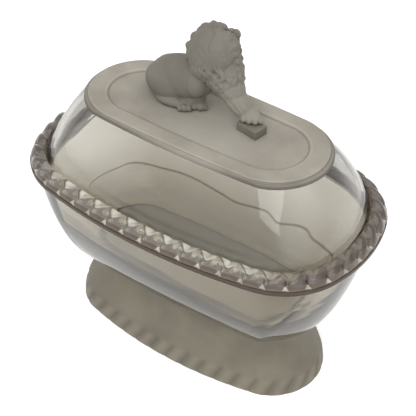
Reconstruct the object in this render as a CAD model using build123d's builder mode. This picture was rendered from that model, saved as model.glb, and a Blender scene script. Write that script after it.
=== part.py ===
from build123d import *
import os
from collections import namedtuple
from math import atan2, cos, degrees, radians, sin

os.makedirs("parts", exist_ok=True)

# Covered oval dish of pressed glass: a footed bowl, and a cover with a lion for its knob
# Millimetres, +Z up, +X along the dish, origin on the table under the dish's middle
# Each clear and each frosted zone of the two pieces of glass is a solid of its own

# An oval is two long side arcs and two end arcs that meet at four corners.
# half_x and half_y reach the middle of an end and of a side, corner_x and corner_y say
# how far out the corners lie as shares of these, and corner_r rounds the corners.
Oval = namedtuple("Oval", "half_x half_y corner_x corner_y corner_r")

# Outlines of the dish, from the table up
foot_base = Oval(87.0, 40.5, 0.76, 0.79, 25.0)
foot_shoulder = Oval(85.8, 39.3, 0.76, 0.79, 23.8)
foot_neck = Oval(76.0, 28.2, 0.75, 0.90, 6.0)
collar_outline = Oval(77.0, 29.8, 0.74, 0.917, 2.5)
bowl_base = Oval(77.5, 30.3, 0.74, 0.917, 2.5)
bowl_top = Oval(106.2, 64.5, 0.843, 0.81, 42.0)
rim_outline = Oval(111.0, 67.5, 0.843, 0.81, 47.0)
cavity_base = Oval(72.0, 26.0, 0.74, 0.917, 4.0)
cavity_top = Oval(101.5, 60.0, 0.843, 0.81, 40.0)

# Outlines of the cover
wall_foot = Oval(101.5, 58.8, 0.843, 0.81, 40.0)
wall_head = Oval(79.6, 34.9, 0.708, 0.93, 4.0)
band_outline = Oval(77.0, 33.0, 0.62, 0.965, 12.0)
recess_outline = Oval(67.0, 24.5, 0.66, 0.965, 9.0)

# Heights above the table
foot_neck_z = 34.0
collar_z = 41.0
bowl_z = 46.0
floor_z = 52.0
bowl_top_z = 112.0
seat_z = 115.5
flange_top_z = 118.0
wall_head_z = 158.8
shoulder_z = 160.7
band_z = 162.6
recess_z = 161.2

# Glass thickness, and the lip that drops into the bowl
foot_wall = 4.5
cover_wall_thickness = 3.6
lip_depth = 4.0
lip_clearance = 0.9
lip_thickness = 2.8
flange_inset = 4.0
band_bevel = 0.7
shoulder_bevel = 1.2
recess_slope = 3.2

# The sweep of the foot, the belly of the bowl and the bulge of the cover's wall
foot_sweep = 0.8
belly_power = 0.45
cover_bulge = 2.7

# The rope edge of the cover, and the rope border of the foot
rope_pitch = 12.0
end_share = 0.5
rope_half_length, rope_radius = 7.2, 4.6
rope_turn = 25
rope_setback = 0.7
rope_z = 117.2
border_depth, border_height = 3.0, 9.5
border_half_length, border_radius = 6.4, 3.6
border_lean = 55
border_skin = 1.4

# The lion lies along X, behind the panel's middle line, with a forepaw on a block
lion_y = 8.0
swelling_step = 27
block_length, block_width, block_height = 14.7, 9.6, 5.4
block_x, block_y, block_turn = 27.6, 5.0, -10


def inset(oval, distance):
    """The same oval, drawn in all round by a distance."""
    return oval._replace(
        half_x=oval.half_x - distance,
        half_y=oval.half_y - distance,
        corner_r=max(oval.corner_r - distance, 1.5),
    )


def between(low, high, share, size_share):
    """An oval between two others: its corners by share, its half sizes by size_share."""
    mixed = [a + (b - a) * share for a, b in zip(low, high)]
    sizes = [a + (b - a) * size_share for a, b in zip(low[:2], high[:2])]
    return Oval(*sizes, *mixed[2:])


def draw(oval):
    """The oval as a flat face at the origin."""
    cx, cy = oval.half_x * oval.corner_x, oval.half_y * oval.corner_y
    with BuildSketch() as outline:
        with BuildLine():
            ThreePointArc((-cx, -cy), (0, -oval.half_y), (cx, -cy))
            ThreePointArc((cx, -cy), (oval.half_x, 0), (cx, cy))
            ThreePointArc((cx, cy), (0, oval.half_y), (-cx, cy))
            ThreePointArc((-cx, cy), (-oval.half_x, 0), (-cx, -cy))
        make_face()
        fillet(outline.vertices(), oval.corner_r)
    return outline.sketch


def belly(share):
    """How far out the bowl's side has come at a share of its height."""
    return share ** belly_power


def ease(share):
    """A smooth S from 0 to 1."""
    return share * share * (3 - 2 * share)


def stack(ovals, heights):
    """A solid lofted through ovals at their heights."""
    with BuildPart() as form:
        for oval, height in zip(ovals, heights):
            with BuildSketch(Plane.XY.offset(height)):
                add(draw(oval))
        loft(ruled=True)
    return form.part


def foot_form(wall):
    """The foot's S-curved form, drawn in all round by a wall's thickness."""
    ovals, heights = [foot_base], [0]
    for share in (0, 0.15, 0.35, 0.55, 0.75, 1):
        ovals.append(between(foot_shoulder, foot_neck, share, ease(share ** foot_sweep)))
        heights.append(border_height + (foot_neck_z - border_height) * share)
    ovals.append(collar_outline)
    return stack([inset(oval, wall) for oval in ovals], heights + [collar_z])


def bowl_form(low, high, low_z):
    """A bellied form from a base oval up to a top oval."""
    shares = (0, 0.02, 0.06, 0.14, 0.28, 0.48, 0.72, 1)
    ovals = [between(low, high, share, belly(share)) for share in shares]
    return stack(ovals, [low_z + (bowl_top_z - low_z) * share for share in shares])


def wall_form(wall, low_z):
    """The cover's bulging form, drawn in all round by a wall's thickness."""
    ovals, heights = [], []
    for share in (0, 0.25, 0.5, 0.75, 1):
        oval = between(wall_foot, wall_head, share, share)
        ovals.append(inset(oval, wall - cover_bulge * 4 * share * (1 - share)))
        heights.append(low_z + (wall_head_z - low_z) * share)
    return stack(ovals, heights)


def grain(half_length, radius):
    """One strand of a rope: a six-sided bead, narrow at both ends, along X."""
    with BuildPart() as bead:
        for place, size in ((-half_length, radius * end_share), (0, radius), (half_length, radius * end_share)):
            with BuildSketch(Plane.YZ.offset(place)):
                RegularPolygon(size, 6)
        loft(ruled=True)
    return bead.part


def strands(oval, bead, height, turn, lean):
    """Beads end to end along an oval, turned across it and leaning up out of its plane."""
    path = draw(oval).face().outer_wire()
    count = round(path.length / rope_pitch)
    places = []
    for index in range(count):
        point, along = path.position_at(index / count), path.tangent_at(index / count)
        heading = degrees(atan2(along.Y, along.X)) + turn
        places.append(Pos(point.X, point.Y, height) * Rot(0, 0, heading) * Rot(0, lean, 0))
    with BuildPart() as rope:
        with Locations(*places):
            add(bead)
    return rope.part


def swelling(place, radii, lean=0, turn=0):
    """A rounded swelling of the lion, lofted along X through ovals, then tipped and turned."""
    half_x, half_y, half_z = radii
    with BuildPart() as form:
        for band in range(-3, 4):
            angle = radians(band * swelling_step)
            with BuildSketch(Plane.YZ.offset(half_x * sin(angle))):
                Ellipse(half_y * cos(angle), half_z * cos(angle))
        loft(ruled=True)
    return Pos(0, lion_y, recess_z) * Pos(*place) * Rot(0, 0, turn) * Rot(0, lean, 0) * form.part


def finish(part, name):
    """Names a finished piece and writes it."""
    part.label = name
    export_step(part, f"parts/{name}.step")


# Foot: a hollow shell, stepped in round its lower edge for the rope border
foot_outside = foot_form(0)
foot_hollow = foot_form(foot_wall)
with BuildPart() as foot:
    add(foot_outside)
    with BuildSketch():
        add(draw(inset(foot_base, -border_height)))
        add(draw(inset(foot_base, border_depth)), mode=Mode.SUBTRACT)
    extrude(amount=border_height, mode=Mode.SUBTRACT)
    add(foot_hollow, mode=Mode.SUBTRACT)
finish(foot.part, "foot")

# Foot border: slanted strands in low relief round the foot's lower edge
border_strands = strands(
    inset(foot_base, border_radius),
    grain(border_half_length, border_radius),
    border_height / 2,
    0,
    border_lean,
)
with BuildPart() as foot_rope_border:
    with BuildSketch():
        add(draw(inset(foot_base, border_skin)))
    extrude(amount=border_height)
    add(border_strands)
    split(bisect_by=Plane.XY, keep=Keep.TOP)
    split(bisect_by=Plane.XY.offset(border_height), keep=Keep.BOTTOM)
    with BuildSketch():
        add(draw(inset(foot_base, border_depth)))
    extrude(amount=border_height, mode=Mode.SUBTRACT)
    add(foot.part, mode=Mode.SUBTRACT)
finish(foot_rope_border.part, "foot_rope_border")

# Collar: the clear band between the foot and the bowl
with BuildPart() as bowl_collar:
    with BuildSketch(Plane.XY.offset(collar_z)):
        add(draw(collar_outline))
        add(draw(inset(collar_outline, foot_wall)), mode=Mode.SUBTRACT)
    extrude(amount=bowl_z - collar_z)
finish(bowl_collar.part, "bowl_collar")

# Bowl: a bellied shell with a smooth rim band
bowl_outside = bowl_form(bowl_base, bowl_top, bowl_z)
bowl_cavity = bowl_form(cavity_base, cavity_top, floor_z)
with BuildPart() as bowl:
    add(bowl_outside)
    with BuildSketch(Plane.XY.offset(bowl_top_z)):
        add(draw(rim_outline))
    extrude(amount=seat_z - bowl_top_z)
    add(bowl_cavity, mode=Mode.SUBTRACT)
    with BuildSketch(Plane.XY.offset(bowl_top_z)):
        add(draw(cavity_top))
    extrude(amount=seat_z - bowl_top_z, mode=Mode.SUBTRACT)
finish(bowl.part, "bowl")

# Cover wall: a clear shell on a flat flange, with the lip that drops into the bowl
wall_outside = wall_form(0, flange_top_z)
wall_inside = wall_form(cover_wall_thickness, flange_top_z)
with BuildPart() as cover_wall:
    add(wall_outside)
    with BuildSketch(Plane.XY.offset(seat_z)):
        add(draw(inset(rim_outline, flange_inset)))
    extrude(amount=flange_top_z - seat_z)
    with BuildSketch(Plane.XY.offset(seat_z)):
        add(draw(inset(cavity_top, lip_clearance)))
    extrude(amount=-lip_depth)
    with BuildSketch(Plane.XY.offset(seat_z - lip_depth)):
        add(draw(inset(cavity_top, lip_clearance + lip_thickness)))
    extrude(amount=lip_depth + flange_top_z - seat_z, mode=Mode.SUBTRACT)
    add(wall_inside, mode=Mode.SUBTRACT)
finish(cover_wall.part, "cover_wall")

# Rope edge: slanted strands, end to end round the flange and over it
edge_strands = strands(
    inset(rim_outline, rope_radius + rope_setback),
    grain(rope_half_length, rope_radius),
    rope_z,
    rope_turn,
    0,
)
with BuildPart() as cover_rope_edge:
    add(edge_strands)
    split(bisect_by=Plane.XY.offset(seat_z), keep=Keep.TOP)
    add(cover_wall.part, mode=Mode.SUBTRACT)
finish(cover_rope_edge.part, "cover_rope_edge")

# Top panel: a soft shoulder, a raised band and a shallow sloping recess that the lion lies in
shoulder_form = stack(
    [wall_head, wall_head, inset(wall_head, shoulder_bevel)],
    [wall_head_z, shoulder_z - shoulder_bevel, shoulder_z],
)
band_form = stack(
    [band_outline, band_outline, inset(band_outline, band_bevel)],
    [shoulder_z, band_z - band_bevel, band_z],
)
recess_form = stack([inset(recess_outline, recess_slope), recess_outline], [recess_z, band_z])
with BuildPart() as cover_top_panel:
    add(shoulder_form)
    add(band_form)
    add(recess_form, mode=Mode.SUBTRACT)
finish(cover_top_panel.part, "cover_top_panel")

# Block under the leading paw
with BuildPart() as lion_paw_block:
    with BuildSketch(Plane.XY.offset(recess_z)):
        with Locations((block_x, block_y)):
            Rectangle(block_length, block_width, rotation=block_turn)
    extrude(amount=block_height)
finish(lion_paw_block.part, "lion_paw_block")

# Lion's mane: the maned head, turned to the far side, the chest, and the leading foreleg
# that the mane's locks run down, with its paw on the block
with BuildPart() as lion_mane:
    add(swelling((-0.8, 0, 39.8), (16.5, 14, 17.8)))
    add(swelling((-1.3, 14, 41), (8, 7, 8.5)))
    add(swelling((5, 0, 27.5), (13, 11, 14.5)))
    add(swelling((14.3, -1, 16.4), (14, 6.5, 6.5), 50))
    add(swelling((24.0, 0, 8.4), (8, 5, 3.8), 0, -10))
    add(lion_paw_block.part, mode=Mode.SUBTRACT)
finish(lion_mane.part, "lion_mane")

# Lion's body: the trunk, the haunches, the hind paws and the standing foreleg
with BuildPart() as lion_body:
    add(swelling((-22, 0, 16), (23, 11, 13.5), -15))
    add(swelling((-30.8, -4, 11.8), (13.8, 9, 12.2)))
    add(swelling((-30.8, 4, 11.8), (13.8, 9, 12.2)))
    add(swelling((-22, -9.5, 3), (11.5, 4, 3.4)))
    add(swelling((-22, 9.5, 3), (11.5, 4, 3.4)))
    add(swelling((-10.3, -1, 13), (5.5, 5.5, 13)))
    add(swelling((-9.7, -1, 2.6), (5.6, 4, 3.4)))
    split(bisect_by=Plane.XY.offset(recess_z), keep=Keep.TOP)
    add(lion_mane.part, mode=Mode.SUBTRACT)
finish(lion_body.part, "lion_body")
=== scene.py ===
"""Looks of a covered oval dish of pressed glass: clear bowl and cover, frosted foot, panel and lion."""
import math
from collections import namedtuple

import bmesh
import bpy
from bpy.props import FloatProperty, FloatVectorProperty, IntProperty, PointerProperty
from mathutils import Matrix, Vector


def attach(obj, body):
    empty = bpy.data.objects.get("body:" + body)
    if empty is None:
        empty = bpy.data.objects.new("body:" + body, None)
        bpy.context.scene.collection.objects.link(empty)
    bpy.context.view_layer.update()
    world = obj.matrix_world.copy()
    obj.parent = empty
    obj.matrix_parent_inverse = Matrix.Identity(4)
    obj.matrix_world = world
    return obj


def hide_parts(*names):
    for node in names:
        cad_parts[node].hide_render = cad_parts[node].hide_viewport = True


bl_info = {
    "name": "Covered Oval Dish",
    "version": (1, 0, 0),
    "blender": (4, 5, 0),
    "location": "3D View > Sidebar > Dish",
    "description": "Builds a covered oval dish of clear and frosted pressed glass",
    "category": "Object",
}

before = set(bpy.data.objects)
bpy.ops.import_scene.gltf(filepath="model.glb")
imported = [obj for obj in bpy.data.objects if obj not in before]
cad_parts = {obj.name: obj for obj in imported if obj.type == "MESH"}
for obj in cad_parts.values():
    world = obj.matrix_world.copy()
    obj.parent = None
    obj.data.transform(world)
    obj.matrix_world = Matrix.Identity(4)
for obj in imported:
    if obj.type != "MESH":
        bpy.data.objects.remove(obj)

# A millimetre in metres, and the number of points round every outline
MM, AROUND = 0.001, 752

# Outlines, in millimetres: half sizes, where the corners lie as shares of them, corner radius
Oval = namedtuple("Oval", "half_x half_y corner_x corner_y corner_r")
FOOT_BASE = Oval(87.0, 40.5, 0.76, 0.79, 25.0)
FOOT_SHOULDER = Oval(85.8, 39.3, 0.76, 0.79, 23.8)
FOOT_NECK = Oval(76.0, 28.2, 0.75, 0.90, 6.0)
COLLAR = Oval(77.0, 29.8, 0.74, 0.917, 2.5)
BOWL_BASE = Oval(77.5, 30.3, 0.74, 0.917, 2.5)
BOWL_TOP = Oval(106.2, 64.5, 0.843, 0.81, 42.0)
RIM = Oval(110.95, 67.45, 0.843, 0.81, 47.0)
CAVITY_BASE = Oval(72.0, 26.0, 0.74, 0.917, 4.0)
CAVITY_TOP = Oval(101.5, 60.0, 0.843, 0.81, 40.0)
WALL_FOOT = Oval(101.5, 58.8, 0.843, 0.81, 40.0)
WALL_HEAD = Oval(79.6, 34.9, 0.708, 0.93, 4.0)
BAND = Oval(77.0, 33.0, 0.62, 0.965, 12.0)
RECESS = Oval(67.0, 24.5, 0.66, 0.965, 9.0)

# Heights above the table, in millimetres
BORDER_Z, NECK_Z, COLLAR_Z, BOWL_Z, FLOOR_Z = 9.5, 34.0, 41.0, 46.0, 52.0
BOWL_TOP_Z, SEAT_Z, FLANGE_Z = 112.0, 115.5, 118.0
HEAD_Z, SHOULDER_Z, BAND_Z, RECESS_Z = 158.8, 160.7, 162.6, 161.2
LION_Y = 8.0
# Thickness of the foot and of the cover's wall, how far that wall bulges, and the gap where pieces meet
FOOT_WALL, COVER_WALL, WALL_BULGE, GAP = 4.5, 3.6, 2.7, 0.05
# Steps of the cover's skin: all of them, the end of its outer wall, and the two ends of its rope edge
COVER_STEPS, WALL_STEP, ROPE_FIRST, ROPE_LAST = 61, 20.4, 21, 32
# How far a strand of the rope edge, and one of the foot's border, leans over its width, in strands
ROPE_LEAN, BORDER_LEAN = 0.65, 0.42
# Share of the rope edge's width over which its strands lean
LEANING = 0.58
# Section of the rope edge from the wall to the rim: way in from the rim, height, hold to the wall's foot
ROPE_SECTION = (
    (8.7, 121.3, 0.85), (8.2, 122.5, 0.6), (7.4, 123.1, 0.35), (6.2, 123.2, 0.15), (4.9, 122.8, 0.05),
    (3.6, 122.0, 0), (2.5, 120.9, 0), (1.5, 119.5, 0), (0.8, 118.1, 0), (0.5, 117.0, 0),
    (0.45, 116.2, 0), (0.6, 115.65, 0),
)
# Section of the lip that drops into the bowl: way in from the cavity's edge, height from the seat
LIP_SECTION = ((0.9, 0.05), (0.9, -3.4), (1.5, -4.0), (3.1, -4.0), (3.7, -3.4), (3.7, 0.0))
# Painted light and shade on the top panel, as a tone at each height in millimetres: darker round the head
# and shoulder and low on the recess's slope, lighter on the band's rounded edge
PANEL_LIGHT_AND_SHADE = (
    (158.7, 0.45), (160.3, 0.5), (160.65, 0.8), (161.1, 1.0), (161.26, 0.98), (161.5, 0.66),
    (162.1, 1.1), (162.45, 1.3), (162.62, 1.02),
)
# Middle of the painted light, paler glass round where the lion stands, in metres
LION_LIGHT_SPOT = (0.010, -0.014, 0.161)
# Course of the dark line painted on the near wall as a reflection, as (x, z) in millimetres
REFLECTION_LINE_COURSE = (
    (-110, 111), (-47, 111), (-43.7, 125.8), (-37.7, 133.9), (-27.6, 142.1), (-18.7, 147.8), (-11, 149.8),
    (-1.8, 151), (16, 152.7), (38, 151), (47.7, 149.8), (63.5, 150.4), (68.3, 148.2), (72.9, 145.2),
    (79.5, 143.7), (88.6, 135.5), (98.1, 122), (102, 111), (110, 111),
)
# Lamps: name, place, width and power
LAMPS = (("key_lamp", (0.35, -0.8, 1.15), 1.3, 12.0), ("back_lamp", (-0.1, 0.5, 1.5), 1.2, 3.5))
# Soft patches that the glass reflects: the way to each, how wide it spreads, how bright it is
SOFT_LIGHTS = (((-0.80, -0.55, 0.24), 0.90, 2.4), ((0.84, -0.28, 0.44), 0.74, 1.4))
# Light of the floor and of the world where it is seen, and of the world elsewhere
FLOOR_GLOW, WORLD_SEEN, WORLD_LIGHT = 0.45, 1.0, 0.72
# The view: its middle and distance in metres, its turn, height and roll in degrees
AIM, DISTANCE, TURN, HEIGHT, ROLL = Vector((0, 0, 0.0999)), 0.72, 34.24, 39.78, -1.47
# Width of the picture, its focal length and its shift, in pixels
FRAME, FOCAL, SHIFT = 416, 1198.48, (4.06, -6.40)


def inset(oval, distance):
    """The same outline drawn in all round."""
    return oval._replace(
        half_x=oval.half_x - distance,
        half_y=oval.half_y - distance,
        corner_r=max(oval.corner_r - distance, 1.5),
    )


def between(low, high, share, size_share):
    """An outline between two others."""
    mixed = [a + (b - a) * share for a, b in zip(low, high)]
    sizes = [a + (b - a) * size_share for a, b in zip(low[:2], high[:2])]
    return Oval(*sizes, *mixed[2:])


def belly(share):
    """How far out the bowl's side has come at a share of its height."""
    return share ** 0.45


def ease(share):
    """A smooth S from 0 to 1."""
    return share * share * (3 - 2 * share)


def quarter(oval):
    """One quarter of the outline as arcs (centre, radius, first angle, last angle), from +X to +Y."""
    cx, cy = oval.half_x * oval.corner_x, oval.half_y * oval.corner_y
    rise, bulge = oval.half_y - cy, oval.half_x - cx
    side_r = (cx * cx + rise * rise) / (2 * rise)
    end_r = (cy * cy + bulge * bulge) / (2 * bulge)
    side, end = Vector((0, oval.half_y - side_r)), Vector((oval.half_x - end_r, 0))
    r = oval.corner_r
    gap = end - side
    d = gap.length
    a = ((side_r - r) ** 2 - (end_r - r) ** 2 + d * d) / (2 * d)
    h = math.sqrt(max((side_r - r) ** 2 - a * a, 0))
    along = gap / d
    across = Vector((-along.y, along.x))
    corner = max((side + along * a + across * h * hand for hand in (-1, 1)), key=lambda c: c.x + c.y)
    low = math.atan2(corner.y - end.y, corner.x - end.x)
    high = math.atan2(corner.y - side.y, corner.x - side.x)
    return [(end, end_r, 0.0, low), (corner, r, low, high), (side, side_r, high, math.pi / 2)]


def outline(oval):
    """Evenly spaced points round the outline, with the way out at each, starting at +X."""
    arcs = quarter(oval)
    lengths = [r * (b - a) for _, r, a, b in arcs]
    part = AROUND // 4
    first = []
    for step in range(part + 1):
        place = sum(lengths) * step / part
        for (centre, r, a, b), length in zip(arcs, lengths):
            if place <= length + 1e-6:
                angle = min(a + place / r, b)
                out = Vector((math.cos(angle), math.sin(angle)))
                first.append((centre + out * r, out))
                break
            place -= length
    points = []
    for sx, sy, back in ((1, 1, False), (-1, 1, True), (-1, -1, False), (1, -1, True)):
        run = first[:0:-1] if back else first[:-1]
        points += [(Vector((p.x * sx, p.y * sy)), Vector((n.x * sx, n.y * sy))) for p, n in run]
    return points


def level(oval, z):
    """The outline's points at a height, in metres."""
    return [Vector((p.x, p.y, z)) * MM for p, _ in outline(oval)]


def arc(first, last, middle, steps):
    """Points of a rounded corner from first to last round a middle, as (x, z) pairs."""
    turn = [math.atan2(p[1] - middle[1], p[0] - middle[0]) for p in (first, last)]
    r = math.dist(first, middle)
    if turn[1] - turn[0] > math.pi:
        turn[1] -= 2 * math.pi
    if turn[0] - turn[1] > math.pi:
        turn[1] += 2 * math.pi
    angles = [turn[0] + (turn[1] - turn[0]) * i / steps for i in range(steps + 1)]
    return [(middle[0] + r * math.cos(a), middle[1] + r * math.sin(a)) for a in angles]


def strand(place, pitches, lean):
    """Where a point lies in its strand, from -1 to 1, and how far it stands up, from 0 to 1."""
    t = 2 * ((place * pitches - lean) % 1.0) - 1
    return t, (1 - abs(t) ** 2.4) ** 0.55


def cover_wall(start):
    """Outlines and heights of the cover's wall, from its head down to a share of its height."""
    rings = []
    for share in [start + (1 - start) * i / 20 for i in range(21)][::-1]:
        oval = inset(between(WALL_FOOT, WALL_HEAD, share, share), -4 * WALL_BULGE * share * (1 - share))
        rings.append((oval, min(FLANGE_Z + (HEAD_Z - FLANGE_Z) * share, HEAD_Z - GAP)))
    return rings


def repeat(bm, small, places):
    """Adds a copy of a small shape for each place, which tells where each of its points goes."""
    pattern = bpy.data.meshes.new("pattern")
    small.to_mesh(pattern)
    small.free()
    first, size = len(bm.verts), len(pattern.vertices)
    for _ in places:
        bm.from_mesh(pattern)
    bpy.data.meshes.remove(pattern)
    for number, v in enumerate(list(bm.verts)[first:]):
        v.co = places[number // size](v.co)


def begin(bm, ring):
    """The points and edges of a skin's first ring."""
    loop = [bm.verts.new(p) for p in ring]
    return loop, [bm.edges.new(pair) for pair in zip(loop, loop[1:] + loop[:1])]


def draw_out(bm, loop, edges, ring):
    """Draws a skin's open end out to the next ring; gives its new points and edges."""
    made = bmesh.ops.extrude_edge_only(bm, edges=edges)["geom"]
    fresh = {g for g in made if isinstance(g, bmesh.types.BMVert)}
    loop = [next(e.other_vert(v) for e in v.link_edges if e.other_vert(v) in fresh) for v in loop]
    for v, p in zip(loop, ring):
        v.co = p
    return loop, [e for e in made if isinstance(e, bmesh.types.BMEdge) and set(e.verts) <= fresh]


def tube(bm, rings):
    """Adds a closed skin through a few small rings of points."""
    loop, edges = begin(bm, rings[0])
    bmesh.ops.contextual_create(bm, geom=edges)
    for ring in rings[1:]:
        loop, edges = draw_out(bm, loop, edges, ring)
    bmesh.ops.contextual_create(bm, geom=edges)


def loft(rings, closed=False):
    """A skin through rings of points, capped or closed on itself, with a Flow map round and along it."""
    bm = bmesh.new()
    place = {}
    loop, edges = begin(bm, rings[0])
    place.update((v, (index / AROUND, 0.0)) for index, v in enumerate(loop))
    if not closed:
        bmesh.ops.contextual_create(bm, geom=edges)
    for number, ring in enumerate(rings[1:], 1):
        loop, edges = draw_out(bm, loop, edges, ring)
        place.update((v, (index / AROUND, number / (len(rings) - 1))) for index, v in enumerate(loop))
    if not closed:
        bmesh.ops.contextual_create(bm, geom=edges)
    flow = bm.loops.layers.uv.new("Flow")
    for face in bm.faces:
        us = [place[c.vert][0] for c in face.loops]
        wraps = max(us) - min(us) > 0.5 and len(us) == 4
        for c, u in zip(face.loops, us):
            c[flow].uv = (u + 1 if wraps and u < 0.5 else u, place[c.vert][1])
    if closed:
        bmesh.ops.remove_doubles(bm, verts=bm.verts, dist=1e-7)
    bmesh.ops.recalc_face_normals(bm, faces=bm.faces)
    return bm


def add_object(name, data):
    """A new object in the scene."""
    made = bpy.data.objects.new(name, data)
    bpy.context.scene.collection.objects.link(made)
    return made


def piece(name, bm, body, material, nodes, sharp=35):
    """Turns a bmesh into a finished piece that rides on a body."""
    mesh = bpy.data.meshes.new(name)
    bm.to_mesh(mesh)
    bm.free()
    mesh.shade_smooth()
    mesh.set_sharp_from_angle(angle=math.radians(sharp))
    mesh.materials.append(bpy.data.materials[material])
    made = add_object(name, mesh)
    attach(made, body)
    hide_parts(*nodes)
    return made


def keep_shape(made):
    """Applies a piece's modifiers, so that its mesh holds the shape."""
    shape = made.evaluated_get(bpy.context.evaluated_depsgraph_get())
    finished = bpy.data.meshes.new_from_object(shape)
    finished.name = made.name
    made.modifiers.clear()
    made.data = finished


def cut_flat(mesh, z):
    """Cuts a mesh off at a height, in metres, and closes its underside."""
    bm = bmesh.new()
    bm.from_mesh(mesh)
    cut = bmesh.ops.bisect_plane(
        bm, geom=bm.verts[:] + bm.edges[:] + bm.faces[:], plane_co=(0, 0, z), plane_no=(0, 0, 1),
        clear_inner=True)
    rims = [e for e in cut["geom_cut"] if isinstance(e, bmesh.types.BMEdge)]
    bmesh.ops.holes_fill(bm, edges=rims, sides=0)
    bm.to_mesh(mesh)
    bm.free()
    mesh.shade_smooth()


def new_material(name):
    """A new material's nodes and its Principled shader."""
    made = bpy.data.materials.new(name)
    made.use_nodes = True
    return made.node_tree, made.node_tree.nodes["Principled BSDF"]


def join(tree, socket, value):
    """Joins an input to an output, or sets it to a number, a way or a colour."""
    if isinstance(value, bpy.types.NodeSocket):
        tree.links.new(value, socket)
    else:
        socket.default_value = (*value, 1) if socket.type == "RGBA" else value


def fill(tree, made, **inputs):
    """Sets or joins a node's inputs, named with an underscore for a space; gives the node."""
    for name, value in inputs.items():
        join(tree, made.inputs[name.replace("_", " ")], value)
    return made


def node(tree, kind, **inputs):
    """A new shader node with its inputs set or joined."""
    return fill(tree, tree.nodes.new("ShaderNode" + kind), **inputs)


def reckon(tree, operation, *values, kind="Math"):
    """A Math or Vector Math node over outputs and numbers; gives its value."""
    made = node(tree, kind)
    made.operation = operation
    for socket, value in zip(made.inputs, values):
        join(tree, socket, value)
    return made.outputs["Value"]


def product(tree, first, *others):
    """The product of several outputs and numbers."""
    for other in others:
        first = reckon(tree, "MULTIPLY", first, other)
    return first


def apart(tree, value, middle):
    """How far a value is from a middle."""
    return reckon(tree, "ABSOLUTE", reckon(tree, "SUBTRACT", value, middle))


def fade(tree, value, low, high):
    """A clamped ramp from 0 where the value is low to 1 where it is high."""
    return node(tree, "MapRange", From_Min=low, From_Max=high, Value=value).outputs["Result"]


def blend(tree, share, first, second, mode="MIX"):
    """A mix of two colours."""
    made = node(tree, "Mix")
    made.data_type, made.blend_type = "RGBA", mode
    for number, value in ((0, share), (6, first), (7, second)):
        join(tree, made.inputs[number], value)
    return made.outputs[2]


def layers(tree, colour, coats):
    """A colour with further colours laid over it, each through its mask."""
    for mask, coat in coats:
        colour = blend(tree, mask, colour, coat)
    return colour


def toned(colour, share):
    """A colour made darker or lighter."""
    return tuple(c * share for c in colour)


def colour_ramp(tree, value, stops):
    """A ramp through colours, each at its place from 0 to 1."""
    made = node(tree, "ValToRGB", Fac=value)
    marks = made.color_ramp.elements
    for number, (place, colour) in enumerate(stops):
        mark = marks[number] if number < 2 else marks.new(place)
        mark.position, mark.color = place, (*colour, 1)
    return made.outputs["Color"]


def object_place(tree):
    """A point's place on the object, whole and as its X, Y and Z."""
    place = node(tree, "TexCoord").outputs["Object"]
    return place, node(tree, "SeparateXYZ", Vector=place).outputs


def flow_place(tree):
    """How far round and how far along its piece a point lies, from the Flow map."""
    source = node(tree, "UVMap")
    source.uv_map = "Flow"
    parts = node(tree, "SeparateXYZ", Vector=source.outputs["UV"]).outputs
    return parts["X"], parts["Y"]


def strand_place(tree, run):
    """Where a point lies in its strand, from 0 to 1, and how far it is from a groove."""
    t = reckon(tree, "FRACT", reckon(tree, "ADD", run, 100.0))
    return t, reckon(tree, "MINIMUM", t, reckon(tree, "SUBTRACT", 1.0, t))


def bumps(tree, noise, strength, distance):
    """The lie of a surface that a noise makes uneven."""
    made = node(tree, "Bump", Strength=strength, Distance=distance, Height=noise.outputs["Fac"])
    return made.outputs["Normal"]


def rope_marks(tree, rope):
    """Masks of the rope edge: a painted highlight on each strand's upper face, the dark band of painted
    shade (partly the tint of thick glass), painted highlights at its notches, painted shade in the creases,
    the whole.
    """
    around, along = flow_place(tree)
    steps = reckon(tree, "MULTIPLY", along, COVER_STEPS)
    over = fade(tree, steps, ROPE_FIRST, ROPE_LAST)
    inside = product(tree, fade(tree, steps, ROPE_FIRST - 0.6, ROPE_FIRST - 0.2),
                     fade(tree, steps, ROPE_LAST + 0.9, ROPE_LAST + 0.3))
    lean = reckon(tree, "MAXIMUM", reckon(tree, "MULTIPLY_ADD", over, -ROPE_LEAN / LEANING, ROPE_LEAN), 0.0)
    run = reckon(tree, "MULTIPLY_ADD", around, rope.edge_strands, -rope.edge_phase)
    t, groove = strand_place(tree, reckon(tree, "SUBTRACT", run, lean))
    arch = reckon(tree, "POWER", fade(tree, over, 0.0, 0.13), 0.5)
    point = reckon(tree, "POWER", fade(tree, over, 0.46, 0.13), 0.55)
    middle = reckon(tree, "MULTIPLY_ADD", over, 0.9, -0.2)
    shift = reckon(tree, "FRACT", reckon(tree, "ADD", reckon(tree, "SUBTRACT", t, middle), 10.5))
    edge = reckon(tree, "SUBTRACT", product(tree, arch, point, 0.48), apart(tree, shift, 0.5))
    # Painted highlight: a pale glint on the upper face of each strand
    leaf_glint = product(tree, fade(tree, edge, -0.01, 0.05), inside)
    # Painted shade, partly the deeper tint of thick glass: the dark band low on the rope edge
    band = product(tree, fade(tree, over, 0.58, 0.68), inside)
    width = reckon(tree, "MULTIPLY_ADD", over, 0.62, -0.38)
    # Painted highlight: pale notches at the grooves in the dark band
    notch_glint = product(tree, fade(tree, reckon(tree, "SUBTRACT", width, groove), 0.0, 0.03),
                    fade(tree, over, 0.91, 0.87), band)
    # Painted shade: dark creases along the edges of the painted highlights
    crease_shade = product(tree, fade(tree, apart(tree, edge, -0.07), 0.07, 0.03), inside,
                     fade(tree, over, 0.12, 0.2), fade(tree, over, 0.6, 0.52), fade(tree, shift, 0.62, 0.5))
    return leaf_glint, band, notch_glint, crease_shade, inside


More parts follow.
